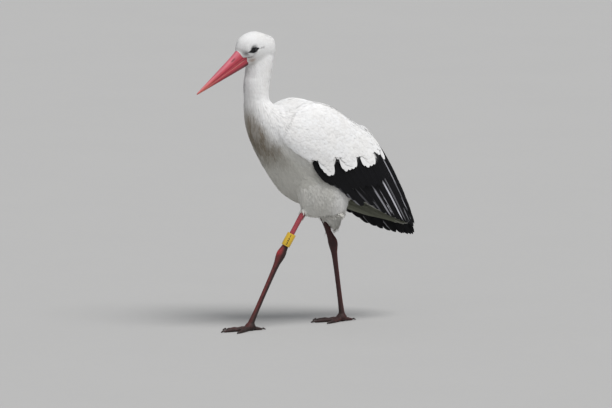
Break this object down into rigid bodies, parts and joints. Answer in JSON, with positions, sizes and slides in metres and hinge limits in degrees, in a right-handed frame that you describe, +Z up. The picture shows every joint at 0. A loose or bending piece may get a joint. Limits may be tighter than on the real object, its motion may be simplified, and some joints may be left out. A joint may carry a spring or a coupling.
{
  "type": "white stork",
  "caption": "Life-size still model of a white stork in mid stride, wings folded, bill held low, with a plain numbered ring on one leg.",
  "frame": {"origin": "On the floor, under the middle of the bird's own box.", "axes": "+Z up, -Y the way the bird walks, +X to the bird's left."},
  "size_m": [0.2138, 0.6548, 0.7741],
  "materials": {
    "white_feathers": "soft white plumage in overlapping feathers, a little soiled on the lower neck",
    "black_feathers": "black flight feathers with a faint gloss and pale grey edges",
    "bill": "satin red horn, paler towards the tip",
    "leg_skin": "scaly red-brown skin, soiled",
    "claw": "dull dark horn",
    "eye": "wet, glossy dark brown",
    "ring": "smooth yellow plastic with plain black digits"
  },
  "bodies": {
    "root": {"trunk": "white_feathers", "head": "white_feathers", "eye_left": "eye", "eye_right": "eye", "bill_upper": "bill", "bill_lower": "bill", "neck_lower": "white_feathers", "neck_upper": "white_feathers", "wing_left": "white_feathers", "flight_left": "black_feathers", "wing_right": "white_feathers", "flight_right": "black_feathers", "tail": "white_feathers", "thigh_left": "white_feathers", "shank_left": "leg_skin", "tarsus_left": "leg_skin", "foot_left": "leg_skin", "toe_left_inner": "leg_skin", "claw_left_inner": "claw", "toe_left_middle": "leg_skin", "claw_left_middle": "claw", "toe_left_outer": "leg_skin", "claw_left_outer": "claw", "toe_left_hind": "leg_skin", "claw_left_hind": "claw", "thigh_right": "white_feathers", "shank_right": "leg_skin", "tarsus_right": "leg_skin", "foot_right": "leg_skin", "toe_right_inner": "leg_skin", "claw_right_inner": "claw", "toe_right_middle": "leg_skin", "claw_right_middle": "claw", "toe_right_outer": "leg_skin", "claw_right_outer": "claw", "toe_right_hind": "leg_skin", "claw_right_hind": "claw", "leg_ring": "ring"}
  },
  "joints": []
}
